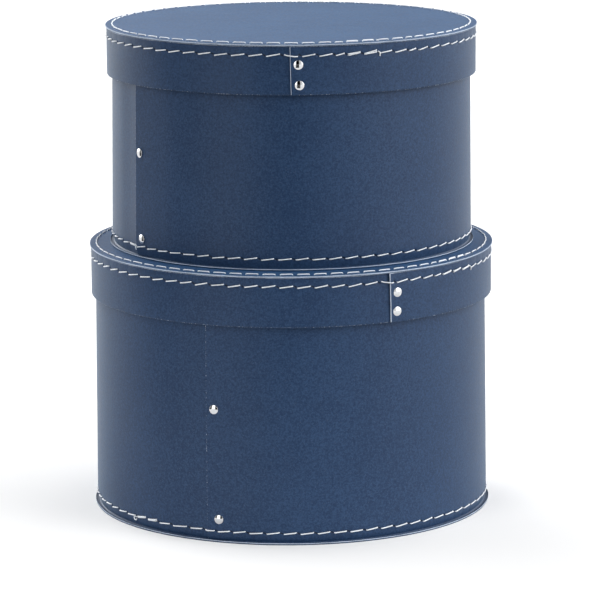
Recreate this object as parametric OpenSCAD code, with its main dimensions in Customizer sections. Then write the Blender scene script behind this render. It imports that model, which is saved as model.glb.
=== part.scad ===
// Two round hat boxes of paper-faced card, the small one standing on the large one.
//
// A box is a wall that stands on a base board and is sewn to it, and a lid is a band that
// hangs from a lid board and is sewn to it. Wall and band are each one strip of card, bent
// round until its ends lap, and riveted through the lap. Each corner is sewn with two
// threads that lock inside the corner: one shows on the round side, one on the flat board.
//
// The origin is the middle of the large box's underside, +Z is up and -Y is the front.
// Directions round a box are angles from the front towards +X.

/* [Large box] */
// Diameter of the large lid's board
large_d = 300; // [280:1:400]
// Height of the large box with its lid on
large_h = 196.4; // [120:0.1:300]
// Height of the large lid alone
large_lid_h = 37.3; // [34:0.1:60]
// Direction of the lap's edge in the large wall
large_wall_seam = -24.3; // [-180:0.1:180]
// Direction of the lap's edge in the large lid's band
large_lid_seam = 28.1; // [-180:0.1:180]
// Stitches round the large lid
large_lid_stitches = 76; // [60:1:90]
// Direction in which one stitch of the large lid starts
large_lid_phase = 1.5; // [-5:0.1:5]
// Stitches round the large base
large_base_stitches = 75; // [60:1:90]
// Direction in which one stitch of the large base starts
large_base_phase = 2.5; // [-5:0.1:5]

/* [Small box] */
// Diameter of the small lid's board
small_d = 274.4; // [200:0.1:280]
// Height of the small box with its lid on
small_h = 162.2; // [120:0.1:250]
// Height of the small lid alone
small_lid_h = 36.1; // [34:0.1:60]
// Direction of the lap's edge in the small wall
small_wall_seam = -56.8; // [-180:0.1:180]
// Direction of the lap's edge in the small lid's band
small_lid_seam = -0.2; // [-180:0.1:180]
// Stitches round the small lid
small_lid_stitches = 68; // [50:1:80]
// Direction in which one stitch of the small lid starts
small_lid_phase = 3.6; // [-5:0.1:5]
// Stitches round the small base
small_base_stitches = 69; // [50:1:80]
// Direction in which one stitch of the small base starts
small_base_phase = 0.9; // [-5:0.1:5]
// How far the small box stands to the right of the large box's middle
small_shift_x = 1.1; // [-5:0.1:5]
// How far the small box stands behind the large box's middle
small_shift_y = 4.4; // [-5:0.1:5]

/* [Card] */
// Thickness of the card that the walls and bands are bent from
card_t = 1; // [0.8:0.1:1.2]
// Thickness of the flat lid and base boards
board_t = 1.6; // [1.5:0.1:2.4]
// How far the lid board stands out past its band
lid_overhang = 0.8; // [0.2:0.1:2]
// How far the base board stands out past its wall
base_overhang = 2.6; // [0.2:0.1:4]
// Gap all round between a wall and the band that slides over it
lid_play = 2.6; // [2.2:0.1:4]
// How far a lid sits to the right of the middle of its wall, within that gap
lid_shift_x = 0.5; // [0:0.1:1]
// How far the rim of a wall stays below the top of the lid, under the corner stitches
rim_drop = 4.6; // [4.6:0.1:7]
// Length of the lap where a strip's ends are riveted, along the strip
lap_w = 20; // [14:1:30]

/* [Stitches] */
// Thickness of the sewing thread
thread_d = 1; // [0.6:0.1:1]
// Length of a stitch, as a part of the distance from one needle hole to the next
stitch_fill = 0.8; // [0.5:0.05:0.95]
// How far the left ends of the stitches on a lid's band lie below the top
lid_seam_drop = 8.6; // [6:0.1:10]
// How far the left ends of the stitches on a wall lie above the underside
base_seam_rise = 7.5; // [6:0.1:10]
// How far the stitches on the flat boards lie inside the edge
board_seam_inset = 4.9; // [4:0.1:7]
// How much a stitch on a wall or band climbs from its left end to its right end
stitch_climb = 1.4; // [0:0.1:2]

/* [Rivets] */
// Diameter of a rivet's head
rivet_d = 7; // [5:0.1:8]
// Height of the domed head above the card
rivet_h = 1.1; // [0.8:0.1:1.2]
// Diameter of the rivet's shank
shank_d = 2.8; // [2:0.1:3.5]
// Diameter of the washer that backs the rivet inside
backing_d = 6.5; // [5:0.1:8]
// Thickness of that washer
backing_t = 0.5; // [0.4:0.1:0.6]

/* [Hidden] */
$fn = 96;

// Gap between the two layers of a lap, and between parts that lie on each other
layer_gap = 0.04;
// A step of a strip's middle line from nominal, outwards at one end and inwards at the other
lap_step = (card_t + layer_gap) / 2;
// Clearance of a shank in its hole, on the radius
shank_play = 0.05;
// Depth and width of the groove that the thread is drawn into under a base board
groove_depth = thread_d + 0.1;
groove_w = thread_d + 0.5;
// Longer than any cut needs to be
through = 1000;

// Where the rivets sit: height above the box's underside (walls) or depth below the lid's
// top (bands), and the angle from the lap's edge. The top rivet of a wall is under the lid.
LARGE_WALL_RIVETS = [[16.8, 3.5], [97.4, 2.3], [178, 2.8]];
LARGE_LID_RIVETS = [[15.9, 2.3], [29.7, 2.2]];
SMALL_WALL_RIVETS = [[14.2, 3.1], [76.8, 2.1], [139.4, 2.5]];
SMALL_LID_RIVETS = [[14.6, 2.4], [29.1, 2.7]];

WALL_BLUE = "#46597d";
LID_BLUE = "#4c6088";
THREAD_WHITE = "#f1f2f0";
NICKEL = "#c9ccd1";

// Outer radii that follow from the diameter of the lid's board
function band_r(d) = d / 2 - lid_overhang;
function wall_r(d) = band_r(d) - card_t - lid_play;
function base_r(d) = wall_r(d) + base_overhang;

// Outer radius of a lapped strip in one direction. A strip is two half circles, whose
// centres stand lap_step apart on the line to the lap, so it winds out by one thickness.
function from_seam(seam, dir) = ((dir - seam) % 360 + 360) % 360;
function half_sign(seam, dir) = from_seam(seam, dir) < 180 ? 1 : -1;
function skin_r(r, seam, dir) =
    let (c = half_sign(seam, dir) * lap_step / 2, a = dir - seam)
    c * cos(a) + sqrt(pow(r + c, 2) - pow(c * sin(a), 2));

// Puts things in one direction round the axis, with their +X pointing outwards
module toward(dir) {
    rotate([0, 0, dir - 90]) children();
}

// Puts things on the skin of a strip, with their +Z pointing outwards
module on_skin(r, seam, dir, z) {
    toward(dir) translate([skin_r(r, seam, dir), 0, z]) rotate([0, 90, 0]) children();
}

// The outline of one half of a strip, seen from above, with the lap towards +X
module half_strip(r, sign) {
    translate([sign * lap_step / 2, 0]) difference() {
        circle(r + sign * lap_step / 2);
        circle(r + sign * lap_step / 2 - card_t);
    }
}

// The outline of a whole strip: the end on top, then the half that runs under it
module strip_outline(r) {
    lap_angle = lap_w / r * 180 / PI;
    intersection() {
        half_strip(r, 1);
        translate([-through, 0]) square([2 * through, through]);
    }
    intersection() {
        half_strip(r, -1);
        union() {
            translate([-through, -through]) square([2 * through, through]);
            polygon([[0, 0], [through, 0], through * [cos(lap_angle), sin(lap_angle)]]);
        }
    }
}

// A strip of card bent round until its ends lap, with a hole for each rivet
module lapped_strip(r, z0, z1, seam, spots) {
    difference() {
        toward(seam) translate([0, 0, z0]) linear_extrude(z1 - z0) strip_outline(r);
        for (spot = spots)
            on_skin(r, seam, seam + spot[1], spot[0])
                cylinder(h = 8 * card_t, d = shank_d + 2 * shank_play, center = true);
    }
}

// Rivets: a domed head outside and a shank that goes through both layers
module rivets(r, seam, spots) {
    dome_r = (rivet_d * rivet_d / 4 + rivet_h * rivet_h) / (2 * rivet_h);
    shank_l = 2 * card_t + 3 * layer_gap + backing_t;
    for (spot = spots)
        on_skin(r, seam, seam + spot[1], spot[0]) {
            intersection() {
                translate([0, 0, rivet_h - dome_r]) sphere(dome_r);
                translate([-rivet_d, -rivet_d, 0]) cube([2 * rivet_d, 2 * rivet_d, rivet_d]);
            }
            translate([0, 0, -shank_l]) cylinder(h = shank_l + rivet_h / 2, d = shank_d);
        }
}

// The washers inside, flat against the inner layer
module rivet_backs(r, seam, spots) {
    depth = 2 * card_t + 3 * layer_gap;
    for (spot = spots)
        on_skin(r, seam, seam + spot[1], spot[0])
            translate([0, 0, -depth - backing_t])
                difference() {
                    cylinder(h = backing_t, d = backing_d);
                    translate([0, 0, -backing_t])
                        cylinder(h = 3 * backing_t, d = shank_d + 2 * shank_play);
                }
}

// Stitches round a wall or band: one short length of thread for each. A stitch that
// crosses the lap's edge lies on the layer on top.
module side_stitches(r, seam, z, count, phase) {
    pitch = 360 / count;
    run = pitch * stitch_fill;
    long = r * run * PI / 180;
    bulge = r * (1 - cos(run / 2));
    for (i = [0 : count - 1]) {
        start = phase + i * pitch;
        skin = max(skin_r(r, seam, start), skin_r(r, seam, start + run));
        toward(start + run / 2)
            translate([skin + bulge + thread_d / 2 + layer_gap, 0, z + stitch_climb / 2])
                rotate([-90 + atan(stitch_climb / long), 0, 0])
                    cylinder(h = long, d = thread_d, center = true, $fn = 16);
    }
}

// Stitches round a flat board, with the middle of the thread at height z
module flat_stitches(r, z, count, phase) {
    pitch = 360 / count;
    run = pitch * stitch_fill;
    for (i = [0 : count - 1])
        toward(phase + i * pitch + run / 2)
            translate([r, 0, z]) rotate([90, 0, 0])
                cylinder(h = r * run * PI / 180, d = thread_d, center = true, $fn = 16);
}

// A base board, with the groove that its stitches lie in
module base_board(d) {
    seam_r = base_r(d) - board_seam_inset;
    difference() {
        cylinder(h = board_t, r = base_r(d));
        rotate_extrude()
            translate([seam_r - groove_w / 2, -groove_depth]) square([groove_w, 2 * groove_depth]);
    }
}

// The parts of a box of one size, standing on z = 0
module wall(d, h, seam, spots) {
    color(WALL_BLUE) lapped_strip(wall_r(d), board_t, h - rim_drop, seam, spots);
}
module wall_rivets(d, seam, spots) {
    color(NICKEL) rivets(wall_r(d), seam, spots);
}
module wall_rivet_backs(d, seam, spots) {
    color(NICKEL) rivet_backs(wall_r(d), seam, spots);
}
module base_side_thread(d, seam, count, phase) {
    color(THREAD_WHITE) side_stitches(wall_r(d), seam, base_seam_rise, count, phase);
}
module base_under_thread(d, count, phase) {
    z = groove_depth - thread_d / 2 - layer_gap;
    color(THREAD_WHITE) flat_stitches(base_r(d) - board_seam_inset, z, count, phase);
}

// The parts of a lid of one size, with its top at height h
function from_top(h, spots) = [for (spot = spots) [h - spot[0], spot[1]]];
module lid_board(d, h) {
    color(LID_BLUE) translate([0, 0, h - board_t]) cylinder(h = board_t, d = d);
}
module lid_band(d, h, lid_h, seam, spots) {
    color(LID_BLUE) lapped_strip(band_r(d), h - lid_h, h - board_t, seam, from_top(h, spots));
}
module lid_rivets(d, h, seam, spots) {
    color(NICKEL) rivets(band_r(d), seam, from_top(h, spots));
}
module lid_rivet_backs(d, h, seam, spots) {
    color(NICKEL) rivet_backs(band_r(d), seam, from_top(h, spots));
}
module lid_side_thread(d, h, seam, count, phase) {
    color(THREAD_WHITE) side_stitches(band_r(d), seam, h - lid_seam_drop, count, phase);
}
module lid_top_thread(d, h, count, phase) {
    z = h + thread_d / 2 + layer_gap;
    color(THREAD_WHITE) flat_stitches(d / 2 - board_seam_inset, z, count, phase);
}

// Where the large lid sits, where the small box stands, and where the small lid sits
module on_large_box() {
    translate([lid_shift_x, 0, 0]) children();
}
module on_large_lid() {
    translate([small_shift_x, small_shift_y, large_h]) children();
}
module on_small_box() {
    on_large_lid() translate([lid_shift_x, 0, 0]) children();
}

color(WALL_BLUE) base_board(large_d);  // large_base
wall(large_d, large_h, large_wall_seam, LARGE_WALL_RIVETS);  // large_wall
wall_rivets(large_d, large_wall_seam, LARGE_WALL_RIVETS);  // large_wall_rivets
wall_rivet_backs(large_d, large_wall_seam, LARGE_WALL_RIVETS);  // large_wall_rivet_backs
base_side_thread(large_d, large_wall_seam, large_base_stitches, large_base_phase);  // large_base_side_thread
base_under_thread(large_d, large_base_stitches, large_base_phase);  // large_base_under_thread
on_large_box() lid_board(large_d, large_h);  // large_lid_board
on_large_box() lid_band(large_d, large_h, large_lid_h, large_lid_seam, LARGE_LID_RIVETS);  // large_lid_band
on_large_box() lid_rivets(large_d, large_h, large_lid_seam, LARGE_LID_RIVETS);  // large_lid_rivets
on_large_box() lid_rivet_backs(large_d, large_h, large_lid_seam, LARGE_LID_RIVETS);  // large_lid_rivet_backs
on_large_box()  // large_lid_side_thread
        lid_side_thread(large_d, large_h, large_lid_seam, large_lid_stitches, large_lid_phase);
on_large_box() lid_top_thread(large_d, large_h, large_lid_stitches, large_lid_phase);  // large_lid_top_thread

on_large_lid() color(WALL_BLUE) base_board(small_d);  // small_base
on_large_lid() wall(small_d, small_h, small_wall_seam, SMALL_WALL_RIVETS);  // small_wall
on_large_lid() wall_rivets(small_d, small_wall_seam, SMALL_WALL_RIVETS);  // small_wall_rivets
on_large_lid() wall_rivet_backs(small_d, small_wall_seam, SMALL_WALL_RIVETS);  // small_wall_rivet_backs
on_large_lid() base_side_thread(small_d, small_wall_seam, small_base_stitches, small_base_phase);  // small_base_side_thread
on_large_lid() base_under_thread(small_d, small_base_stitches, small_base_phase);  // small_base_under_thread
on_small_box() lid_board(small_d, small_h);  // small_lid_board
on_small_box() lid_band(small_d, small_h, small_lid_h, small_lid_seam, SMALL_LID_RIVETS);  // small_lid_band
on_small_box() lid_rivets(small_d, small_h, small_lid_seam, SMALL_LID_RIVETS);  // small_lid_rivets
on_small_box() lid_rivet_backs(small_d, small_h, small_lid_seam, SMALL_LID_RIVETS);  // small_lid_rivet_backs
on_small_box() lid_side_thread(small_d, small_h, small_lid_seam, small_lid_stitches, small_lid_phase);  // small_lid_side_thread
on_small_box() lid_top_thread(small_d, small_h, small_lid_stitches, small_lid_phase);  // small_lid_top_thread
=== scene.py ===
"""Two stacked round hat boxes of blue paper-faced card, with sewn corners and riveted laps.

Lengths are in millimetres until a mesh is made, and directions round a box are degrees from
the front (-Y) towards +X. "skin" is the outer radius of a strip of card in one direction.
"""

import math
from types import SimpleNamespace

import bpy
import numpy as np
from mathutils import Matrix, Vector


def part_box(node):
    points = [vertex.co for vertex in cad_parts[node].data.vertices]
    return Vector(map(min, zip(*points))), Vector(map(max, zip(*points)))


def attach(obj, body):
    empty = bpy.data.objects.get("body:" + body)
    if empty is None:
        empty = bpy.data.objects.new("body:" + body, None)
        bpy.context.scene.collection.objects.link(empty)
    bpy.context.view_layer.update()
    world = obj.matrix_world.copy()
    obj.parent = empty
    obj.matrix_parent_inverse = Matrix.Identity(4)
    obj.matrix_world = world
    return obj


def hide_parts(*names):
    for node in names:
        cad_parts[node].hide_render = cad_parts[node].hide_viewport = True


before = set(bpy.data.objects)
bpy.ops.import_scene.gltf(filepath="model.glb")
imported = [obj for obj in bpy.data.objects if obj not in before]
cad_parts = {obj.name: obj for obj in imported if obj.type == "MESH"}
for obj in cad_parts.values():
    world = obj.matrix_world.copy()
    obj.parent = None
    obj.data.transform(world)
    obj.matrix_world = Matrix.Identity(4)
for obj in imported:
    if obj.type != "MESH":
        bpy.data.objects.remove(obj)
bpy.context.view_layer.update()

MM = 0.001

# Card and boards
CARD = 1.0
LID_OVERHANG = 0.8
LID_PLAY = 2.6
LAP = 20.0
WALL_SPREAD = 1.0  # how much further out a wall stands at its foot
WALL_PINCH = 0.65  # and how much further in at its rim
OUT_OF_ROUND = (0.03, 0.09)  # the least and most of one wave round a strip
BAND_RIDGE = 0.6  # how far the ends of a band bow out where they lap
RIDGE_LENGTH = 30.0  # and over what length
GAP_LENGTH = 9.0  # the length of a band's edge on top that springs off
LAYER_GAP = 0.05  # between the two ends of a lap
EDGE_WEAR = 0.32  # the rounding along a strip
END_WEAR = 0.42  # and at its ends
LID_FACINGS = (0.45, 0.22)  # the paper under and over the core at a board's edge
BASE_FACINGS = (0.80, 0.16)
CHANNEL_DEPTH = 0.9  # of the channel in a base round the wall's foot
CHANNEL_WIDTH = 3.2
OUTER_RINGS = np.array([CHANNEL_WIDTH, 2.6, 1.6, 0.9, 0.6, 0.25])  # in from a board's edge
RINGS_UNDER_WALL = 3  # of the paper that turns in over a base's edge
FOOT_TUCK = 1.6  # how far the stitches draw a wall's foot in
FOOT_HEIGHT = 8.0

# Stitches
THREAD = 0.96
STITCH_REPEAT = 12.3
STITCH_FILL = 0.8  # how much of the repeat the thread covers
LID_CLIMB = 1.4  # how far a stitch rises from one hole to the next
BASE_CLIMB = 1.0
LID_SEAM_DROP = 8.6  # from the lid's top to the low ends of its stitches
BASE_SEAM_RISE = 7.7
BOARD_INSET = 4.9  # from a board's edge to its stitches
HOLE_LENGTH = 2.3
HOLE_WIDTH = 1.05
HOLE_DEPTH = 0.6
DIMPLE_DEPTH = 0.18  # of the dished card round a hole
DIMPLE_R = 1.6
PUCKER_DEPTH = 0.10  # of the dip all along the stitches
PUCKER_HEIGHT = 2.2
CREASE_DEPTH = 0.10  # of the crease from a hole to the board
CREASE_WIDTH = 1.9
CREASE_HEIGHT = 6.0
GROOVE_DEPTH = 1.1  # of the groove under a base, where its thread lies
GROOVE_WIDTH = 1.5

# Rivets
RIVET_R = 3.4
RIVET_H = 1.1
BACKING_R = 3.25

# Camera
CAMERA_DISTANCE = 2594.7
CAMERA_HEIGHT = 658.5
CAMERA_SIDE = 6.94
CAMERA_PITCH = 11.088
CAMERA_ROLL = -0.37
LENS = 211.8


# ---------------------------------------------------------------- the boxes, from the frame

def middle(low, high):
    return ((low.x + high.x) / 2 / MM, (low.y + high.y) / 2 / MM)


def sewing(count, first, drift, odd, doubled, knot=False):
    """One sewn seam: how many stitches, where the first one starts, how much longer they are on
    the left than on the right, the directions and lengths of odd ones against the others, how many
    are sewn over again, and whether the loose end curls up where they start."""
    return SimpleNamespace(count=count, first=first, drift=drift, odd=odd, doubled=doubled, knot=knot)


def measure(size, wall_seam, lid_seam, lid_sewing, base_sewing, wall_rivets, lid_rivets, bends):
    """The sizes of one box, in millimetres, from its CAD nodes. bends is how far its wall leans,
    how high the wall's ends bow at their lap, how far the lid's edge on top springs off, and how
    far that edge slants."""
    lid_low, lid_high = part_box(size + "_lid_board")
    base_low, base_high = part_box(size + "_base")
    band_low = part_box(size + "_lid_band")[0]
    wall_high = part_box(size + "_wall")[1]
    box = SimpleNamespace(size=size, wall_seam=wall_seam, lid_seam=lid_seam)
    box.lean, box.ridge, box.lid_gap, box.slant = bends
    box.middle = middle(base_low, base_high)
    box.lid_middle = middle(lid_low, lid_high)
    box.floor = base_low.z / MM
    box.base_top = base_high.z / MM
    box.rim = wall_high.z / MM
    box.band_bottom = band_low.z / MM
    box.board_bottom = lid_low.z / MM
    box.top = lid_high.z / MM
    box.lid_r = (lid_high.x - lid_low.x) / 2 / MM
    box.base_r = (base_high.x - base_low.x) / 2 / MM
    box.band_r = box.lid_r - LID_OVERHANG
    box.wall_r = box.band_r - CARD - LID_PLAY
    box.lid_sewing, box.base_sewing = lid_sewing, base_sewing
    box.wall_rivets = [(box.floor + rise, wall_seam + turn) for rise, turn in wall_rivets]
    box.lid_rivets = [(box.top - drop, lid_seam + turn) for drop, turn in lid_rivets]
    return box


LARGE = measure("large", -24.3, 28.1, sewing(76, 46.6, 0.03, ((44.8, 0.66),), 3),
                sewing(75, -50.8, 0.0, ((-34.0, 1.25), (-29.2, 1.05), (-24.4, 0.80), (-19.6, 0.91),
                                        (-14.8, 0.94)), 2, knot=True),
                [(16.8, 3.5), (97.4, 2.3), (178.0, 2.8)], [(15.9, 2.3), (29.7, 2.2)],
                (-0.3, 1.5, 1.2, 1.3))
SMALL = measure("small", -56.8, -0.2, sewing(68, 16.5, 0.025, ((14.8, 0.66), (37.8, 0.66)), 2),
                sewing(69, -62.2, 0.0, (), 1), [(14.2, 3.1), (76.8, 2.1), (139.4, 2.5)],
                [(14.6, 2.4), (29.1, 2.7)], (0.5, 1.9, 0.3, 0.7))


# ---------------------------------------------------------------- small helpers

def at(centre, direction, radius, z):
    """Points in metres from directions, radii and heights round a centre."""
    a = np.radians(direction)
    x = centre[0] + radius * np.sin(a)
    y = centre[1] - radius * np.cos(a)
    return np.stack(np.broadcast_arrays(x, y, z + 0 * a), -1) * MM


def smooth(t):
    t = np.clip(t, 0, 1)
    return t * t * (3 - 2 * t)


def turn_between(a, b):
    """The turn from direction b to direction a, from -180 to 180."""
    return (np.asarray(a) - b + 180.0) % 360.0 - 180.0


def make_mesh(name, points, faces, materials, face_slots=None, sharp=35.0, attribute=None):
    """A mesh object from arrays. faces is a list of arrays of quads or triangles."""
    mesh = bpy.data.meshes.new(name)
    sizes = np.concatenate([np.full(len(f), f.shape[1], np.int32) for f in faces])
    loops = np.concatenate([f.ravel() for f in faces]).astype(np.int32)
    mesh.vertices.add(len(points))
    mesh.vertices.foreach_set("co", np.ascontiguousarray(points, np.float32).ravel())
    mesh.loops.add(len(loops))
    mesh.loops.foreach_set("vertex_index", loops)
    mesh.polygons.add(len(sizes))
    mesh.polygons.foreach_set("loop_start", np.concatenate([[0], np.cumsum(sizes)[:-1]]).astype(np.int32))
    if face_slots is not None:
        mesh.polygons.foreach_set("material_index", np.concatenate(face_slots).astype(np.int32))
    for material in materials:
        mesh.materials.append(material)
    if attribute is not None:
        layer = mesh.attributes.new(attribute[0], "FLOAT", "POINT")
        layer.data.foreach_set("value", np.ascontiguousarray(attribute[1], np.float32))
    mesh.update(calc_edges=True)
    mesh.validate()
    mesh.polygons.foreach_set("use_smooth", np.ones(len(sizes), bool))
    if sharp:
        mesh.set_sharp_from_angle(angle=math.radians(sharp))
    obj = bpy.data.objects.new(name, mesh)
    bpy.context.scene.collection.objects.link(obj)
    return obj


def grid_faces(rows, columns, closed_rows=False, closed_columns=False, start=0):
    """Quads between the points of a grid that is stored row by row."""
    i = np.arange(rows if closed_rows else rows - 1)
    j = np.arange(columns if closed_columns else columns - 1)
    i, j = (a.ravel() for a in np.meshgrid(i, j, indexing="ij"))
    i2, j2 = (i + 1) % rows, (j + 1) % columns
    return start + np.stack([i * columns + j, i * columns + j2, i2 * columns + j2, i2 * columns + j], 1)


def thinned(values, least):
    """Sorted values with none closer than least to the one before."""
    values = np.sort(np.asarray(values, float))
    kept = [values[0]]
    for v in values[1:]:
        if v - kept[-1] >= least:
            kept.append(v)
    kept[-1] = values[-1]
    return np.array(kept)


# ---------------------------------------------------------------- materials

def new_material(name):
    material = bpy.data.materials.new(name)
    material.use_nodes = True
    tree = material.node_tree
    shader = tree.nodes["Principled BSDF"]
    return material, tree, shader


def noise(tree, coords, scale, detail=3.0, rough=0.55):
    node = tree.nodes.new("ShaderNodeTexNoise")
    node.inputs["Scale"].default_value = scale
    node.inputs["Detail"].default_value = detail
    node.inputs["Roughness"].default_value = rough
    tree.links.new(coords, node.inputs["Vector"])
    return node.outputs["Fac"]


def ramp(tree, value, stops):
    node = tree.nodes.new("ShaderNodeValToRGB")
    for element, (position, colour) in zip(node.color_ramp.elements, (stops[0], stops[-1])):
        element.position = position
        element.color = (*colour, 1)
    for position, colour in stops[1:-1]:
        node.color_ramp.elements.new(position).color = (*colour, 1)
    tree.links.new(value, node.inputs["Fac"])
    return node.outputs["Color"]


def math_node(tree, operation, a, b):
    node = tree.nodes.new("ShaderNodeMath")
    node.operation = operation
    for socket, value in zip(node.inputs, (a, b)):
        if isinstance(value, (int, float)):
            socket.default_value = value
        else:
            tree.links.new(value, socket)
    return node.outputs[0]


def mix_colour(tree, factor, a, b):
    node = tree.nodes.new("ShaderNodeMix")
    node.data_type = "RGBA"
    for socket, value in ((node.inputs[0], factor), (node.inputs[6], a), (node.inputs[7], b)):
        if isinstance(value, tuple):
            socket.default_value = (*value, 1)
        elif isinstance(value, (int, float)):
            socket.default_value = value
        else:
            tree.links.new(value, socket)
    return node.outputs[2]


def bump(tree, height, strength, distance, shader):
    node = tree.nodes.new("ShaderNodeBump")
    node.inputs["Strength"].default_value = strength
    node.inputs["Distance"].default_value = distance
    tree.links.new(height, node.inputs["Height"])
    tree.links.new(node.outputs["Normal"], shader.inputs["Normal"])


def object_coords(tree):
    return tree.nodes.new("ShaderNodeTexCoord").outputs["Object"]


BLUE = (0.0190, 0.0472, 0.1120)
BLUE_DARK = (0.0130, 0.0350, 0.0890)
BLUE_PALE = (0.0270, 0.0635, 0.1420)
# painted light: how much lighter the boards' faces are painted in red, green and blue, standing in for the
# light on the lid tops
PAINTED_LIGHT_TINT = (1.25, 1.68, 1.68)
DUST = (0.13, 0.17, 0.25)
CORE = (0.52, 0.60, 0.73)
INSIDE = (0.47, 0.46, 0.44)


def paper(name, rubbed=None, patchy=False, painted_light=(1.0, 1.0, 1.0), rough=0.44, sheen=0.15):
    """The dusty blue facing: fine grain, faint mottling, and painted shade in the needle holes. On an edge
    the pale board shows through where the fine noise passes the rubbed limits, in patches or all along.
    The lightening tint multiplies the red, green and blue of the facing. It is painted light: it makes the
    boards' faces lighter where light falls on the lid tops. rough is how dull it is, and sheen is how much
    its dust catches the light from behind."""
    material, tree, shader = new_material(name)
    coords = object_coords(tree)
    grain = noise(tree, coords, 760.0, 3.0, 0.75)
    fibres = noise(tree, coords, 420.0, 5.0, 0.6)
    mottle = noise(tree, coords, 22.0, 3.0)
    spots = math_node(tree, "ADD", math_node(tree, "MULTIPLY", fibres, 0.3),
                      math_node(tree, "MULTIPLY", mottle, 0.13))
    spots = math_node(tree, "ADD", spots, math_node(tree, "MULTIPLY", grain, 0.57))
    shades = [tuple(c * f for c, f in zip(blue, painted_light)) for blue in (BLUE_DARK, BLUE, BLUE_PALE)]
    colour = ramp(tree, spots, list(zip((0.42, 0.5, 0.58), shades)))
    dust = ramp(tree, noise(tree, coords, 1900.0, 1.0), [(0.68, (0, 0, 0)), (0.76, (0.6,) * 3)])
    colour = mix_colour(tree, dust, colour, DUST)
    if rubbed:
        scuffs = noise(tree, coords, 900.0, 4.0, 0.65)
        if patchy:
            patches = noise(tree, coords, 38.0, 2.0)
            scuffs = math_node(tree, "ADD", scuffs, math_node(tree, "MULTIPLY", patches, 0.9))
            scuffs = math_node(tree, "SUBTRACT", scuffs, 0.45)
        show = ramp(tree, scuffs, [(rubbed[0], (0, 0, 0)), (rubbed[1], (1, 1, 1))])
        colour = mix_colour(tree, show, colour, CORE)
    # Painted shade: the pits of the needle holes are painted near black, darker the deeper they go
    hole = tree.nodes.new("ShaderNodeAttribute")
    hole.attribute_name = "hole"
    colour = mix_colour(tree, hole.outputs["Fac"], colour, (0.004, 0.006, 0.012))
    tree.links.new(colour, shader.inputs["Base Color"])
    dull = ramp(tree, fibres, [(0.3, (rough - 0.05,) * 3), (0.7, (rough + 0.05,) * 3)])
    tree.links.new(dull, shader.inputs["Roughness"])
    shader.inputs["Specular IOR Level"].default_value = 0.25
    shader.inputs["Sheen Weight"].default_value = sheen
    shader.inputs["Sheen Roughness"].default_value = 0.35
    shader.inputs["Sheen Tint"].default_value = (0.55, 0.82, 1.0, 1)
    height = math_node(tree, "ADD", math_node(tree, "MULTIPLY", grain, 0.6), fibres)
    bump(tree, height, 0.45, 0.00014, shader)
    return material


def raw_board(name, base, plies):
    """Bare grey board: pale fibres, and the lines of its plies where it is a cut edge."""
    material, tree, shader = new_material(name)
    coords = object_coords(tree)
    fibres = noise(tree, coords, 700.0, 6.0, 0.65)
    low = tuple(0.78 * c for c in base)
    high = tuple(min(1.15 * c, 1) for c in base)
    colour = ramp(tree, fibres, [(0.3, low), (0.55, base), (0.75, high)])
    if plies:
        stretch = tree.nodes.new("ShaderNodeMapping")
        stretch.inputs["Scale"].default_value = (60.0, 60.0, 2600.0)
        tree.links.new(coords, stretch.inputs["Vector"])
        layers = noise(tree, stretch.outputs["Vector"], 1.0, 2.0)
        lines = ramp(tree, layers, [(0.36, (0.45,) * 3), (0.50, (1,) * 3)])
        shade = tree.nodes.new("ShaderNodeMix")
        shade.data_type = "RGBA"
        shade.blend_type = "MULTIPLY"
        shade.inputs[0].default_value = 0.6
        tree.links.new(colour, shade.inputs[6])
        tree.links.new(lines, shade.inputs[7])
        colour = shade.outputs[2]
    tree.links.new(colour, shader.inputs["Base Color"])
    shader.inputs["Roughness"].default_value = 0.85
    bump(tree, fibres, 0.5, 0.0002, shader)
    return material


def thread_material():
    """White polyester thread, with fine filaments along the twist."""
    material, tree, shader = new_material("white_thread")
    coords = object_coords(tree)
    strands = noise(tree, coords, 2600.0, 3.0, 0.6)
    colour = ramp(tree, strands, [(0.3, (0.80, 0.84, 0.90)), (0.6, (0.93, 0.96, 1.0))])
    tree.links.new(colour, shader.inputs["Base Color"])
    shader.inputs["Roughness"].default_value = 0.5
    shader.inputs["Sheen Weight"].default_value = 0.3
    bump(tree, strands, 0.4, 0.0001, shader)
    return material


def nickel_material():
    """Bright nickel plate with faint polishing marks."""
    material, tree, shader = new_material("nickel")
    coords = object_coords(tree)
    marks = noise(tree, coords, 1800.0, 4.0, 0.7)
    shader.inputs["Metallic"].default_value = 1.0
    colour = ramp(tree, marks, [(0.3, (0.66, 0.67, 0.69)), (0.7, (0.80, 0.81, 0.83))])
    tree.links.new(colour, shader.inputs["Base Color"])
    dull = ramp(tree, marks, [(0.35, (0.05,) * 3), (0.75, (0.16,) * 3)])
    tree.links.new(dull, shader.inputs["Roughness"])
    bump(tree, marks, 0.08, 0.00005, shader)
    return material


PAPER = paper("blue_paper")
# The boards' faces take the paper painted lighter, as painted light for the lit lid tops; the walls keep
# the plain paper
FACE = paper("blue_paper_painted_lighter", painted_light=PAINTED_LIGHT_TINT, rough=0.51, sheen=0.0)
WORN = paper("worn_paper_edge", (0.42, 0.56), patchy=True)
RUBBED = paper("rubbed_paper_edge", (0.26, 0.40))
FLECKED = paper("flecked_paper_edge", (0.53, 0.68))
PLIES = raw_board("cut_board_edge", CORE, True)
BARE = raw_board("bare_board", INSIDE, False)
WHITE = thread_material()
NICKEL = nickel_material()
STRIP_MATERIALS = [PAPER, WORN, PLIES, BARE, RUBBED, FLECKED]
BOARD_MATERIALS = [FACE, WORN, PLIES, BARE, PAPER]


# ---------------------------------------------------------------- strips of card

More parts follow.
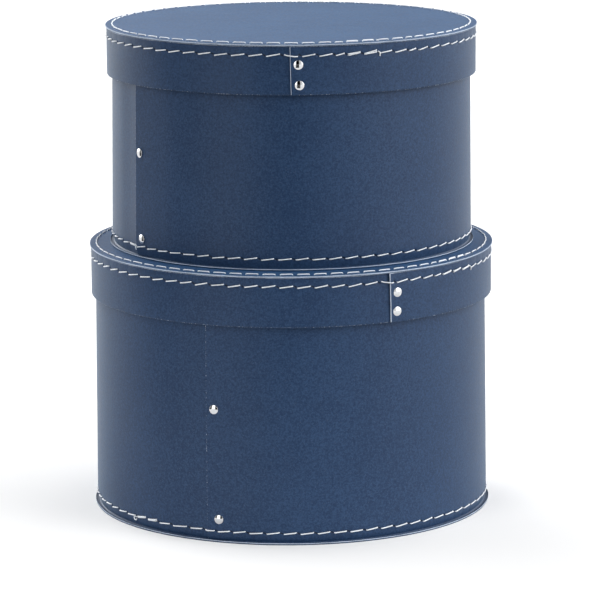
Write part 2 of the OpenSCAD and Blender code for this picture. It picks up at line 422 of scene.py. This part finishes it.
class Strip:
    """A wall or band: a strip bent round until its ends lap, with the end on top at its seam."""

    def __init__(self, centre, nominal, z0, z1, seam, seed, ridge, gap=0.0, slant=0.0, taper=(0.0, 0.0),
                 lean=0.0, foot_tuck=0.0):
        self.centre, self.nominal, self.z0, self.z1, self.seam = centre, nominal, z0, z1, seam
        self.ridge, self.gap, self.slant, self.taper, self.lean = ridge, gap, slant, taper, lean
        self.foot_tuck = foot_tuck
        self.lap = math.degrees(LAP / nominal)
        draws = np.random.default_rng(seed)
        self.waves = [(n, draws.uniform(0, 360), draws.uniform(*OUT_OF_ROUND)) for n in (2, 3, 5, 7)]

    def up(self, z):
        """0 at the bottom of the strip and 1 at its top."""
        return np.clip((z - self.z0) / (self.z1 - self.z0), 0, 1)

    def out_of_round(self, direction, z):
        """Slight waves that keep a bent strip from being a perfect cylinder."""
        total = 0
        for n, start, size in self.waves:
            total = total + size * np.cos(np.radians(n * (direction - start)))
        return total * (0.35 + 0.65 * np.sin(np.pi * self.up(z)))

    def bow(self, away, z):
        """Both ends stand a little proud where they lap, because card resists being bent right
        up to its edge. away is the length along the strip from the edge on top."""
        height = self.ridge * (1 - 0.6 * smooth(4 * self.up(z) - 3))
        return height * np.clip(1 - np.abs(away) / RIDGE_LENGTH, 0, 1) ** 2

    def parting(self, along, z):
        """How far the edge on top has sprung off the end under it, most of all at its top."""
        return self.gap * (0.2 + 0.8 * self.up(z)) * np.clip(1 - along / GAP_LENGTH, 0, 1) ** 2

    def foot(self, z):
        """How far the stitches draw the bottom of a wall in."""
        return self.foot_tuck * np.clip(1 - (z - self.z0) / FOOT_HEIGHT, 0, 1) ** 1.5

    def surface(self, s, z):
        """The outer radius at s degrees along the strip from the edge on top."""
        along = np.radians(s) * self.nominal
        past = np.radians(s - 360.0) * self.nominal
        start = self.bow(along, z) + self.parting(along, z)
        under = CARD + LAYER_GAP - self.bow(past, z)
        before = under * smooth(1 + past / RIDGE_LENGTH)
        end = np.where(past < 0, before, under)
        end = np.where(past > -RIDGE_LENGTH, end, 0.0)
        spread = self.taper[0] + (self.taper[1] - self.taper[0]) * self.up(z)
        return self.nominal + spread + self.out_of_round(self.seam + s, z) + start - end - self.foot(z)

    def skin(self, direction, z):
        """The outer radius that shows in a direction."""
        return self.surface((np.asarray(direction) - self.seam) % 360.0, z)

    def over(self, direction, z):
        """The radius that a thread rests on, which steps up just before the edge on top."""
        reach = math.degrees(0.7 / self.nominal)
        return max(float(self.skin(direction + turn, z)) for turn in (-reach, 0.0, reach))

    def at(self, direction, radius, z):
        """Points in metres. The axis of the strip leans to the right going up."""
        shift = self.lean * self.up(z)
        return at((self.centre[0] + shift, self.centre[1]), direction, radius, z)


def hole_places(seam, seed):
    """Directions of the needle holes of one seam in the order they are sewn, with the first one
    again at the end. Hand-fed stitches differ a little in length."""
    draws = np.random.default_rng(seed)
    mean = 360.0 / seam.count
    direction = seam.first + mean * np.arange(seam.count)
    steps = 1 - seam.drift * np.sin(np.radians(direction)) + draws.normal(0, 0.022, seam.count)
    for where, size in seam.odd:
        steps[np.abs(turn_between(direction + mean / 2, where)).argmin()] *= size
    steps *= 360.0 / steps.sum()
    return seam.first + np.concatenate([[0], np.cumsum(steps)])


def hole_depth(along, up, length, width, slope):
    """From 0 on the skin to 1 at the bottom of a slanting needle hole."""
    c, s = math.cos(slope), math.sin(slope)
    u = (along * c + up * s) / (length / 2)
    v = (-along * s + up * c) / (width / 2)
    return np.clip(1.25 * np.exp(-(np.abs(u) ** 2.6 + np.abs(v) ** 2.2)) - 0.12, 0, 1)


def nearest_hole(direction, holes):
    """For each direction, the turn from its nearest hole."""
    turns = turn_between(np.asarray(direction)[:, None], holes[None, :-1])
    return np.take_along_axis(turns, np.abs(turns).argmin(1)[:, None], 1)[:, 0]


# A needle hole slants from the end of one stitch to the start of the next
HOLE_SLOPE = -math.atan2(LID_CLIMB, (1 - STITCH_FILL) * STITCH_REPEAT)
# Where the mesh is finer along the card, from the middle of each hole
NEAR_HOLE = np.array([-2.4, -1.7, -1.2, -0.8, -0.4, 0.0, 0.4, 0.8, 1.2, 1.7, 2.4, 4.2, 6.2])


def make_strip(name, strip, holes, seam_z, end_material, foot_material, body, node):
    """The strip as one closed solid, with its needle holes pressed in round the seam. Its two ends
    and its bottom edge are worn in their own ways, so their edges have their own materials."""
    r = strip.nominal
    per_mm = math.degrees(1 / r)
    far = 360.0 + strip.lap
    spots = ((holes[:-1, None] + NEAR_HOLE[None, :] * per_mm - strip.seam) % 360.0).ravel()
    spots = np.concatenate([spots, spots[spots < strip.lap] + 360.0])
    ends = np.array([0, END_WEAR, 1.0, 1.6, 3, 5, 8, 12, 16, 20, 25, 30]) * per_mm
    spots = np.concatenate([spots, ends, far - ends, 360.0 - ends, np.linspace(0, far, 240)])
    s = thinned(spots, 0.2 * per_mm)
    s = s[(s >= 0) & (s <= far)]
    s[0], s[-1] = 0.0, far

    near = np.array([-2.8, -2.0, -1.4, -1.0, -0.6, -0.3, 0, 0.3, 0.6, 1.0, 1.4, 2.0, 2.8])
    low, high = strip.z0 + EDGE_WEAR, strip.z1 - EDGE_WEAR
    z = np.concatenate([seam_z + near, np.linspace(low, high, 26), [low + 0.5, high - 0.5]])
    z = thinned(np.clip(z, low, high), 0.18)

    S, Z = np.meshgrid(s, z)
    board_z = strip.z0 if seam_z < (strip.z0 + strip.z1) / 2 else strip.z1
    outer = strip.surface(S, Z)
    turns = nearest_hole(strip.seam + s, holes)
    along = np.radians(turns) * r
    pit = hole_depth(along[None, :] + 0 * Z, Z - seam_z, HOLE_LENGTH, HOLE_WIDTH, HOLE_SLOPE)
    dimple = DIMPLE_DEPTH * np.exp(-(along[None, :] ** 2 + (Z - seam_z) ** 2) / (2 * DIMPLE_R ** 2))
    pucker = PUCKER_DEPTH * np.exp(-((Z - seam_z) / PUCKER_HEIGHT) ** 2)
    crease = CREASE_DEPTH * np.exp(-(along[None, :] / CREASE_WIDTH) ** 2)
    crease = crease * np.exp(-((Z - board_z) / CREASE_HEIGHT) ** 2)
    face = outer - HOLE_DEPTH * pit - dimple - pucker - crease
    face[:, 0] -= EDGE_WEAR * 0.6
    face[:, -1] -= EDGE_WEAR * 0.6
    back = outer - CARD

    def ring(radius, height):
        slanted = strip.slant * per_mm * (0.5 - strip.up(height)) * smooth(1 - s / strip.lap)
        return strip.at(strip.seam + s + slanted, radius, height)

    chamfer = EDGE_WEAR * 0.55
    # marks hold how deep each point lies in a needle hole; the paper paints that depth as shade
    loops, marks = [], []

    def add(points, mark=None):
        loops.append(points)
        marks.append(np.zeros(len(s)) if mark is None else mark)

    for k in range(len(z)):
        add(ring(face[k], z[k]), pit[k])
    add(ring(outer[-1] - chamfer, strip.z1 + 0 * s))
    add(ring(back[-1] + chamfer, strip.z1 + 0 * s))
    for k in range(len(z) - 1, -1, -1):
        add(ring(back[k], z[k]))
    add(ring(back[0] + chamfer, strip.z0 + 0 * s))
    add(ring(outer[0] - chamfer, strip.z0 + 0 * s))

    rows, columns = len(loops), len(s)
    points = np.concatenate(loops)
    quads = grid_faces(rows, columns, closed_rows=True)
    slots = np.zeros((rows, columns - 1), int)
    slot = STRIP_MATERIALS.index
    n = len(z)
    slots[n - 1] = slot(WORN)
    slots[n] = slot(PLIES)
    slots[n + 1:2 * n + 1] = slot(BARE)
    slots[2 * n + 1] = slot(PLIES)
    slots[2 * n + 3] = slot(foot_material)
    slots[:n, 0] = slot(end_material)
    slots[:n, -1] = slot(end_material)
    caps = []
    outside = list(range(n)) + [n]
    inside = [2 * n + 1 - k for k in range(n)] + [n + 1]
    for column, flip in ((0, False), (columns - 1, True)):
        a = np.array([k * columns + column for k in outside])
        b = np.array([k * columns + column for k in inside])
        quad = np.stack([a[:-1], a[1:], b[1:], b[:-1]], 1)
        caps.append(quad[:, ::-1] if not flip else quad)
        foot = np.array([[a[0], b[0], (rows - 2) * columns + column, (rows - 1) * columns + column]])
        caps.append(foot if flip else foot[:, ::-1])
    cap_faces = np.concatenate(caps)
    obj = make_mesh(name, points, [quads[:, ::-1], cap_faces], STRIP_MATERIALS,
                    [slots.ravel(), np.full(len(cap_faces), slot(PLIES))],
                    attribute=("hole", np.concatenate(marks)))
    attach(obj, body)
    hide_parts(node)
    return obj


# ---------------------------------------------------------------- round boards

def make_board(name, centre, r, z0, z1, holes, sewn_on_top, body, node, seed):
    """A lid or base board. A lid's stitches show on top and a base's underneath, in a groove;
    the other face is bare. The wall's foot sits in a shallow channel in the base."""
    low_face, high_face = LID_FACINGS if sewn_on_top else BASE_FACINGS
    draws = np.random.default_rng(seed)
    seam_r = r - BOARD_INSET
    per_mm = math.degrees(1 / seam_r)
    a = thinned(((holes[:-1, None] + NEAR_HOLE[None, :] * per_mm) % 360.0).ravel(), 0.2 * per_mm)
    along = np.radians(nearest_hole(a, holes)) * seam_r
    waves = [(n, draws.uniform(0, 360), 0.08 / n ** 0.5) for n in (2, 3, 7, 19, 41)]
    cut = sum(size * np.cos(np.radians(n * (a - start))) for n, start, size in waves)
    rough = draws.normal(0, 0.03, (2, len(a)))
    near = np.array([-2.0, -1.3, -0.85, -0.6, -0.35, 0, 0.35, 0.6, 0.85, 1.3])
    inner = np.array([0.06, 0.2, 0.4, 0.6, 0.78, 0.9]) * seam_r
    face_r = np.concatenate([inner, seam_r + near, r - OUTER_RINGS])
    # marks hold how deep each point lies in a needle hole; the paper paints that depth as shade
    loops, marks = [], []

    def add(radius, height, mark=None):
        loops.append(at(centre, a, radius, height))
        marks.append(np.zeros(len(a)) if mark is None else mark)

    def add_face(radii, z, into, sewn, grooved):
        for radius in radii:
            pit = 0 * a
            depth = 0 * a
            if not sewn and not sewn_on_top:
                inner_side = smooth((radius - r + CHANNEL_WIDTH) / 0.8)
                depth = depth + CHANNEL_DEPTH * inner_side * smooth((r - radius) / 0.6)
            if sewn:
                pit = hole_depth(along, radius - seam_r + 0 * a, HOLE_LENGTH * 0.8, HOLE_WIDTH, 0.0)
                depth = HOLE_DEPTH * pit
            if grooved and abs(radius - seam_r) < GROOVE_WIDTH / 2:
                depth = np.maximum(depth, GROOVE_DEPTH)
            add(radius + cut * smooth((radius - seam_r - 1) / 3.0), z + into * depth, pit)

    add_face(face_r, z0, 1, not sewn_on_top, not sewn_on_top)
    edge = len(loops)
    add(r - 0.08 + cut, z0 + 0.3 * low_face)
    add(r + cut - 0.04 + 0.5 * rough[0], z0 + low_face)
    add(r + cut + rough[0], z0 + low_face + 0.08)
    add(r + cut + rough[1], z1 - high_face - 0.08)
    add(r + cut - 0.04 + 0.5 * rough[1], z1 - high_face)
    add(r - 0.08 + cut, z1 - 0.4 * high_face)
    top = len(loops)
    add_face(face_r[::-1], z1, -1, sewn_on_top, False)

    rows, columns = len(loops), len(a)
    hubs = [at(centre, np.zeros(1), np.zeros(1), z) for z in (z0, z1)]
    points = np.concatenate(loops + hubs)
    quads = grid_faces(rows, columns, closed_columns=True)
    slots = np.zeros((rows - 1, columns), int)
    slot = BOARD_MATERIALS.index
    slots[edge + 2] = slot(PLIES)
    slots[edge + 3] = slot(WORN)
    rim = top - 1 + len(OUTER_RINGS) + RINGS_UNDER_WALL
    if sewn_on_top:
        slots[:edge] = slot(BARE)
    else:
        # Painted shade: a base's edge and its top round the wall's foot keep the plain, darker paper
        # instead of the faces' painted lighter tone, for the shade there
        slots[edge - 1:edge + 2] = slot(PAPER)
        slots[edge + 4:rim] = slot(PAPER)
        slots[rim:] = slot(BARE)
    j = np.arange(columns)
    j2 = (j + 1) % columns
    last = (rows - 1) * columns
    under = np.stack([np.full(columns, rows * columns), j2, j], 1)
    over = np.stack([np.full(columns, rows * columns + 1), last + j, last + j2], 1)
    middles = (BARE, FACE) if sewn_on_top else (FACE, BARE)
    fan_slots = np.repeat([slot(material) for material in middles], columns)
    obj = make_mesh(name, points, [quads, np.concatenate([under, over])], BOARD_MATERIALS,
                    [slots.ravel(), fan_slots], attribute=("hole", np.concatenate(marks + [np.zeros(2)])))
    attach(obj, body)
    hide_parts(node)
    return obj


# ---------------------------------------------------------------- thread

def spline(points, step):
    """Points a set distance apart along a smooth curve through the given ones."""
    p = np.concatenate([[2 * points[0] - points[1]], points, [2 * points[-1] - points[-2]]])
    t = np.linspace(0, 1, 8, endpoint=False)[None, :, None]
    p0, p1, p2, p3 = (p[k:len(p) - 3 + k, None, :] for k in range(4))
    curve = 0.5 * (2 * p1 + (p2 - p0) * t + (2 * p0 - 5 * p1 + 4 * p2 - p3) * t ** 2
                   + (3 * p1 - p0 - 3 * p2 + p3) * t ** 3)
    curve = np.concatenate([curve.reshape(-1, 3), points[-1:]])
    lengths = np.concatenate([[0], np.cumsum(np.linalg.norm(np.diff(curve, axis=0), axis=1))])
    wanted = np.linspace(0, lengths[-1], max(int(lengths[-1] / step), 4))
    return np.stack([np.interp(wanted, lengths, curve[:, k]) for k in range(3)], 1)


def twisted(path, radius, twist_length=3.4, sides=12, plies=3):
    """Points and faces of a laid thread along a path: a tube whose plies wind round it."""
    tangent = np.gradient(path, axis=0)
    tangent /= np.linalg.norm(tangent, axis=1)[:, None]
    normal = np.zeros_like(path)
    start = np.cross(tangent[0], [0.3, 0.2, 0.93])
    normal[0] = start / np.linalg.norm(start)
    for k in range(1, len(path)):
        n = normal[k - 1] - tangent[k] * np.dot(normal[k - 1], tangent[k])
        normal[k] = n / np.linalg.norm(n)
    side = np.cross(tangent, normal)
    length = np.concatenate([[0], np.cumsum(np.linalg.norm(np.diff(path, axis=0), axis=1))]) / MM
    around = np.linspace(0, 2 * np.pi, sides, endpoint=False)
    turn = 2 * np.pi * length / twist_length
    swell = 0.88 + 0.12 * np.cos(plies * (around[None, :] - turn[:, None]))
    ring = radius * MM * swell[..., None] * (np.cos(around)[None, :, None] * normal[:, None, :]
                                             + np.sin(around)[None, :, None] * side[:, None, :])
    points = (path[:, None, :] + ring).reshape(-1, 3)
    quads = grid_faces(len(path), sides, closed_columns=True)
    first, last = len(points), len(points) + 1
    points = np.concatenate([points, path[:1], path[-1:]])
    j = np.arange(sides)
    j2 = (j + 1) % sides
    low = np.stack([np.full(sides, first), j2, j], 1)
    high = np.stack([np.full(sides, last), (len(path) - 1) * sides + j, (len(path) - 1) * sides + j2], 1)
    return points, quads, np.concatenate([low, high])


# The start of a stitch: how far along it, and how far out of the card for a lift of 1
RISE_OUT = ((0.0, -0.9), (0.012, -0.2), (0.03, 0.55), (0.08, 0.95), (0.25, 1.0))


# A loose end that curls under the stitches: how far along the card and how far up it
CURL = ((0.6, -1.5), (-0.6, -2.6), (-2.1, -2.2), (-2.2, -0.7), (-0.9, 0.1))


def stitch_points(corner, start, end, off, lift, flat):
    """One stitch: out of its hole, along the card and into the next hole. The one that crosses
    the lap runs down to its edge and on level."""
    gap = 0.5 * (1 - STITCH_FILL) * (end - start) + math.degrees(0.45 / corner.seam_r)
    a, b = start + gap, end - gap
    crosses = not flat and 0 < turn_between(corner.lap, start) < end - start
    path = []
    for t, out in RISE_OUT + tuple((1 - t, out) for t, out in RISE_OUT[::-1]):
        rise = corner.climb * (t - 0.5) + off[0] + (off[1] - off[0]) * t
        if crosses:
            rise = corner.crossing * corner.climb * (0.5 - 0.9 * min(t / 0.45, 1.0)) + off[0]
        height = out * lift if out > 0 else out
        path.append(corner.outside(a + (b - a) * t, rise, height, flat))
    return path


def lock_points(corner, direction, flat):
    """Down a hole to where the two threads hook round each other inside the corner, and back."""
    path = []
    for turn, depth in ((-0.10, 0.55), (-0.06, 0.92), (0.0, 1.0), (0.06, 0.92), (0.10, 0.55)):
        path.append(corner.within(direction + turn, depth, flat))
    return path


def sewn_thread(corner, flat, seed):
    """The path of one thread of a corner, in metres, from its first stitch right round to the
    stitches that are sewn over again, and a short tail."""
    draws = np.random.default_rng(seed)
    holes = corner.holes
    count = corner.seam.count
    path = []
    if corner.seam.knot and not flat:
        for along, rise in CURL:
            turned = holes[0] + math.degrees(along / corner.seam_r)
            path.append(corner.outside(turned, rise - corner.climb / 2, 0.8 * THREAD, flat))
    path += lock_points(corner, holes[0], flat)
    for k in range(count + corner.seam.doubled):
        again = k >= count
        start, end = holes[k % count], holes[k % count + 1]
        lift = 0.5 * THREAD * (1.5 if again else 1.0) + draws.uniform(-0.05, 0.12)
        off = draws.normal(0, 0.16, 2) + (0.75 * THREAD if again else 0.0)
        if again and flat:
            off = off * 1.5
        path += stitch_points(corner, start, end, off, lift, flat)
        if not again or k < count + corner.seam.doubled - 1:
            path += lock_points(corner, end, flat)
    if corner.seam.knot:
        return spline(np.array(path), 0.33 * MM)
    end = holes[corner.seam.doubled] + math.degrees(0.8 / corner.seam_r)
    for drop, lift in ((0.3, -0.6), (0.0, 0.7), (-0.8, 1.3), (-1.7, 1.2), (-2.6, 0.8)):
        path.append(corner.outside(end, drop, lift * THREAD * 0.6, flat))
    return spline(np.array(path), 0.33 * MM)


def corner_of(strip, board_centre, seam, holes, seam_z, seam_r, inner_z, climb, crossing, thread_z):
    """How the threads of a corner lie. outside() gives places on the card: on the strip, or on
    the board. within() gives places inside the corner, where the threads meet. climb is how far
    a stitch rises, and crossing how steeply the one that crosses the lap runs down."""

    def outside(direction, rise, lift, flat):
        if flat:
            height = thread_z(lift)
            return at(board_centre, direction, seam_r - 0.2 * rise, height)
        z = seam_z + rise
        return strip.at(direction, strip.over(direction, z) + lift, z)

    def within(direction, depth, flat):
        side = (float(strip.skin(direction, seam_z)) - CARD, seam_z)
        start = (seam_r, inner_z) if flat else side
        lock = ((side[0] + seam_r) / 2, (seam_z + inner_z) / 2)
        return at(board_centre, direction, start[0] + (lock[0] - start[0]) * depth,
                  start[1] + (lock[1] - start[1]) * depth)

    return SimpleNamespace(seam=seam, holes=holes, outside=outside, within=within, lap=strip.seam,
                           seam_z=seam_z, seam_r=seam_r, climb=climb, crossing=crossing)


def lid_corner(box, band, holes):
    seam_z = box.top - LID_SEAM_DROP + LID_CLIMB / 2
    return corner_of(band, box.lid_middle, box.lid_sewing, holes, seam_z, box.lid_r - BOARD_INSET,
                     box.board_bottom, LID_CLIMB, 1.0, lambda lift: box.top + lift)


def base_corner(box, wall, holes):
    """The thread under a base stays inside its groove."""
    seam_z = box.floor + BASE_SEAM_RISE + BASE_CLIMB / 2
    bed = box.floor + THREAD / 2 + 0.03
    return corner_of(wall, box.middle, box.base_sewing, holes, seam_z, box.base_r - BOARD_INSET,
                     box.base_top, BASE_CLIMB, 0.0, lambda lift: bed if lift > 0 else bed + 0.5)


def make_thread(name, corner, flat, seed, body, node):
    path = sewn_thread(corner, flat, seed)
    points, quads, caps = twisted(path, THREAD / 2)
    obj = make_mesh(name, points, [quads, caps], [WHITE], sharp=0)
    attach(obj, body)
    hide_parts(node)
    return obj


# ---------------------------------------------------------------- rivets

def lathe(profile, centre, outward, sides=48):
    """Points and faces of a turned shape. profile is (radius, height along outward) from one
    end of the axis to the other."""
    outward = np.asarray(outward, float)
    across = np.cross(outward, [0, 0, 1.0])
    across /= np.linalg.norm(across)
    up = np.cross(across, outward)
    around = np.linspace(0, 2 * np.pi, sides, endpoint=False)
    spokes = np.cos(around)[:, None] * across + np.sin(around)[:, None] * up
    rings = [centre + (radius * spokes + height * outward) * MM for radius, height in profile[1:-1]]
    ends = [[centre + profile[k][1] * MM * outward] for k in (0, -1)]
    points = np.concatenate(rings + ends)
    quads = grid_faces(len(rings), sides, closed_columns=True)
    j = np.arange(sides)
    j2 = (j + 1) % sides
    total = len(rings) * sides
    low = np.stack([np.full(sides, total), j2, j], 1)
    high = np.stack([np.full(sides, total + 1), total - sides + j, total - sides + j2], 1)
    return points, quads, np.concatenate([low, high])


def head_profile():
    """A domed rivet head with a rolled edge, and the shank that goes through the card."""
    dome = (RIVET_R ** 2 + (RIVET_H - 0.3) ** 2) / (2 * (RIVET_H - 0.3))
    edge = [(RIVET_R - 0.3, 0.0), (RIVET_R - 0.1, 0.03), (RIVET_R, 0.15), (RIVET_R - 0.03, 0.27)]
    cap = []
    for t in np.linspace(0.0, 1.0, 16):
        radius = (RIVET_R - 0.08) * math.cos(t * math.pi / 2)
        height = RIVET_H - dome + math.sqrt(dome ** 2 - radius ** 2)
        cap.append((radius, max(height, 0.27)))
    shank = [(0.0, -2.5), (1.2, -2.5), (1.35, -2.4), (1.38, -0.1), (1.45, 0.0)]
    return shank + edge + cap[1:-1] + [(0.0, RIVET_H)]


def back_profile():
    """The washer inside, with the shank's end curled over it."""
    curl = [(1.0 + 0.85 * math.cos(t), 0.42 + 0.5 * math.sin(t)) for t in np.linspace(math.pi, 0, 9)]
    washer = [(2.6, 0.46), (BACKING_R - 0.15, 0.44), (BACKING_R, 0.3), (BACKING_R, 0.1),
              (BACKING_R - 0.12, 0.0)]
    return [(0.0, -0.5), (0.12, -0.5)] + curl + washer + [(0.2, 0.0), (0.0, 0.0)]


def make_rivets(name, strip, spots, body, node, inside=False):
    points, quads, caps = [], [], []
    start = 0
    for z, direction in spots:
        a = math.radians(direction)
        outward = np.array([math.sin(a), -math.cos(a), 0.0])
        if inside:
            under = float(strip.surface(360.0 + (direction - strip.seam), z))
            turned = lathe(back_profile(), strip.at(direction, under - CARD - 0.05, z), -outward)
        else:
            turned = lathe(head_profile(), strip.at(direction, strip.over(direction, z) + 0.02, z), outward)
        points.append(turned[0])
        quads.append(turned[1] + start)
        caps.append(turned[2] + start)
        start += len(turned[0])
    obj = make_mesh(name, np.concatenate(points), [np.concatenate(quads), np.concatenate(caps)], [NICKEL],
                    sharp=50)
    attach(obj, body)
    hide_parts(node)
    return obj


# ---------------------------------------------------------------- one box

def build_box(box, seed):
    size = box.size
    body = size + "_box"
    wall = Strip(box.middle, box.wall_r, box.base_top, box.rim, box.wall_seam, seed, box.ridge,
                 taper=(WALL_SPREAD, -WALL_PINCH), lean=box.lean, foot_tuck=FOOT_TUCK)
    holes = hole_places(box.base_sewing, seed + 1)
    corner = base_corner(box, wall, holes)
    make_strip(size + "_wall_card", wall, holes, corner.seam_z, FLECKED, PAPER, body,
               size + "_wall")
    make_board(size + "_base_card", box.middle, box.base_r, box.floor, box.base_top, holes, False,
               body, size + "_base", seed + 2)
    make_rivets(size + "_wall_rivet_heads", wall, box.wall_rivets, body, size + "_wall_rivets")
    make_rivets(size + "_wall_rivet_washers", wall, box.wall_rivets, body,
                size + "_wall_rivet_backs", inside=True)
    make_thread(size + "_base_stitches", corner, False, seed + 3, body, size + "_base_side_thread")
    make_thread(size + "_base_stitches_under", corner, True, seed + 4, body, size + "_base_under_thread")


def build_lid(box, seed):
    size = box.size
    body = size + "_lid"
    band = Strip(box.lid_middle, box.band_r, box.band_bottom, box.board_bottom, box.lid_seam, seed,
                 BAND_RIDGE, gap=box.lid_gap, slant=box.slant)
    holes = hole_places(box.lid_sewing, seed + 1)
    corner = lid_corner(box, band, holes)
    make_strip(size + "_band_card", band, holes, corner.seam_z, RUBBED, FLECKED, body,
               size + "_lid_band")
    make_board(size + "_lid_card", box.lid_middle, box.lid_r, box.board_bottom, box.top, holes, True,
               body, size + "_lid_board", seed + 2)
    make_rivets(size + "_band_rivet_heads", band, box.lid_rivets, body, size + "_lid_rivets")
    make_rivets(size + "_band_rivet_washers", band, box.lid_rivets, body,
                size + "_lid_rivet_backs", inside=True)
    make_thread(size + "_lid_stitches", corner, False, seed + 3, body, size + "_lid_side_thread")
    make_thread(size + "_lid_stitches_top", corner, True, seed + 4, body, size + "_lid_top_thread")


build_box(LARGE, 100)
build_lid(LARGE, 110)
build_box(SMALL, 200)
build_lid(SMALL, 210)


# ---------------------------------------------------------------- stage, lights and camera

# The floor: how pale it is near its middle and far off, how pale rivets mirror it, between which
# distances it changes, and how much it glows for the camera
FLOOR_MIDDLE = (-0.20, -0.16, 0.0)
FLOOR_NEAR = 0.90
FLOOR_FAR = 0.10
FLOOR_MIRRORED = 0.78
FLOOR_FADE = (0.26, 0.50)
FLOOR_GLOW = 0.10


def make_floor():
    """A wide pale floor. The camera sees it a little over-exposed, and the soft light that it
    throws back comes only from near the object, as off a small white table."""
    reach = 40.0
    corners = [(-reach, -reach, 0), (reach, -reach, 0), (reach, reach, 0), (-reach, reach, 0)]
    mesh = bpy.data.meshes.new("floor")
    mesh.from_pydata(corners, [], [(0, 1, 2, 3)])
    floor = bpy.data.objects.new("floor", mesh)
    bpy.context.scene.collection.objects.link(floor)
    material, tree, shader = new_material("pale_floor")
    away = tree.nodes.new("ShaderNodeVectorMath")
    away.operation = "DISTANCE"
    tree.links.new(object_coords(tree), away.inputs[0])
    away.inputs[1].default_value = FLOOR_MIDDLE
    near, far = FLOOR_FADE
    pale = ramp(tree, away.outputs["Value"], [(near, (FLOOR_NEAR,) * 3), (far, (FLOOR_FAR,) * 3)])
    path = tree.nodes.new("ShaderNodeLightPath")
    other = mix_colour(tree, path.outputs["Is Glossy Ray"], pale, (FLOOR_MIRRORED,) * 3)
    tint = mix_colour(tree, path.outputs["Is Camera Ray"], other, (FLOOR_NEAR,) * 3)
    tree.links.new(tint, shader.inputs["Base Color"])
    glow = math_node(tree, "MULTIPLY", path.outputs["Is Camera Ray"], FLOOR_GLOW)
    tree.links.new(glow, shader.inputs["Emission Strength"])
    shader.inputs["Emission Color"].default_value = (1, 1, 1, 1)
    shader.inputs["Roughness"].default_value = 0.9
    shader.inputs["Specular IOR Level"].default_value = 0.1
    mesh.materials.append(material)


# Light round the object at the height of the soft boxes: (direction, strength)
SOFTBOXES = ((-180, 0.3), (-150, 4.8), (-130, 3.7), (-118, 2.7), (-100, 1.8), (-84, 0.2),
             (-60, 0.1), (-57, 2.1), (-26, 2.1), (-21, 0.0), (12, 0.0), (15, 0.7), (38, 0.8),
             (62, 4.5), (95, 2.4), (125, 2.6), (155, 1.6), (180, 0.3))
OVERHEAD = 0.45
DARK_FLOOR = ((-88, -60), (-21, 12))
TABLE_REACH = 0.60
FAR = 30.0
STRONGEST = 5.0


def make_world():
    """A white studio: a tall soft box to the right, a narrower one in front on the left, one
    behind on the left, and a dark gap at the camera. The camera sees plain white."""
    world = bpy.data.worlds.new("studio")
    bpy.context.scene.world = world
    world.use_nodes = True
    tree = world.node_tree
    back = tree.nodes["Background"]
    way = tree.nodes.new("ShaderNodeSeparateXYZ")
    tree.links.new(tree.nodes.new("ShaderNodeTexCoord").outputs["Generated"], way.inputs[0])
    turn = math_node(tree, "ARCTAN2", way.outputs["X"], math_node(tree, "MULTIPLY", way.outputs["Y"], -1.0))
    compass = math_node(tree, "ADD", math_node(tree, "DIVIDE", turn, 2 * math.pi), 0.5)
    sides = ramp(tree, compass, [(direction / 360 + 0.5, (strength / STRONGEST,) * 3)
                                for direction, strength in SOFTBOXES])
    high = ramp(tree, way.outputs["Z"], [(0.70, (0, 0, 0)), (0.90, (1, 1, 1))])
    light = mix_colour(tree, high, sides, (OVERHEAD / STRONGEST,) * 3)
    seen = tree.nodes.new("ShaderNodeLightPath").outputs["Is Camera Ray"]
    tree.links.new(mix_colour(tree, seen, light, (1.0 / STRONGEST,) * 3), back.inputs["Color"])
    back.inputs["Strength"].default_value = STRONGEST


def make_dark_floor():
    """The dark floor past the white table, between the soft boxes, which only rivets mirror."""
    corners = []
    for first, last in DARK_FLOOR:
        for direction, reach in ((first, TABLE_REACH), (last, TABLE_REACH), (last, FAR), (first, FAR)):
            turn = math.radians(direction)
            corners.append((reach * math.sin(turn), -reach * math.cos(turn), 0.002))
    mesh = bpy.data.meshes.new("dark_floor")
    mesh.from_pydata(corners, [], [tuple(range(k, k + 4)) for k in range(0, len(corners), 4)])
    dark = bpy.data.objects.new("dark_floor", mesh)
    bpy.context.scene.collection.objects.link(dark)
    material, _, shader = new_material("black_cloth")
    shader.inputs["Base Color"].default_value = (0.01, 0.01, 0.01, 1)
    shader.inputs["Roughness"].default_value = 0.9
    mesh.materials.append(material)
    dark.visible_camera = False
    dark.visible_diffuse = False
    dark.visible_shadow = False


def make_camera():
    camera = bpy.data.objects.new("camera", bpy.data.cameras.new("camera"))
    bpy.context.scene.collection.objects.link(camera)
    camera.data.lens = LENS
    camera.data.sensor_width = 36.0
    camera.data.clip_end = 100.0
    camera.location = (CAMERA_SIDE * MM, -CAMERA_DISTANCE * MM, CAMERA_HEIGHT * MM)
    camera.rotation_mode = "XYZ"
    camera.rotation_euler = (math.radians(90 - CAMERA_PITCH), 0, 0)
    bpy.context.view_layer.update()
    roll = math.radians(CAMERA_ROLL)
    camera.rotation_euler = (camera.matrix_world.to_3x3() @ Matrix.Rotation(roll, 3, "Z")).to_euler()
    bpy.context.scene.camera = camera


make_floor()
make_world()
make_dark_floor()
make_camera()
bpy.context.scene.view_settings.view_transform = "Standard"

bpy.context.view_layer.update()
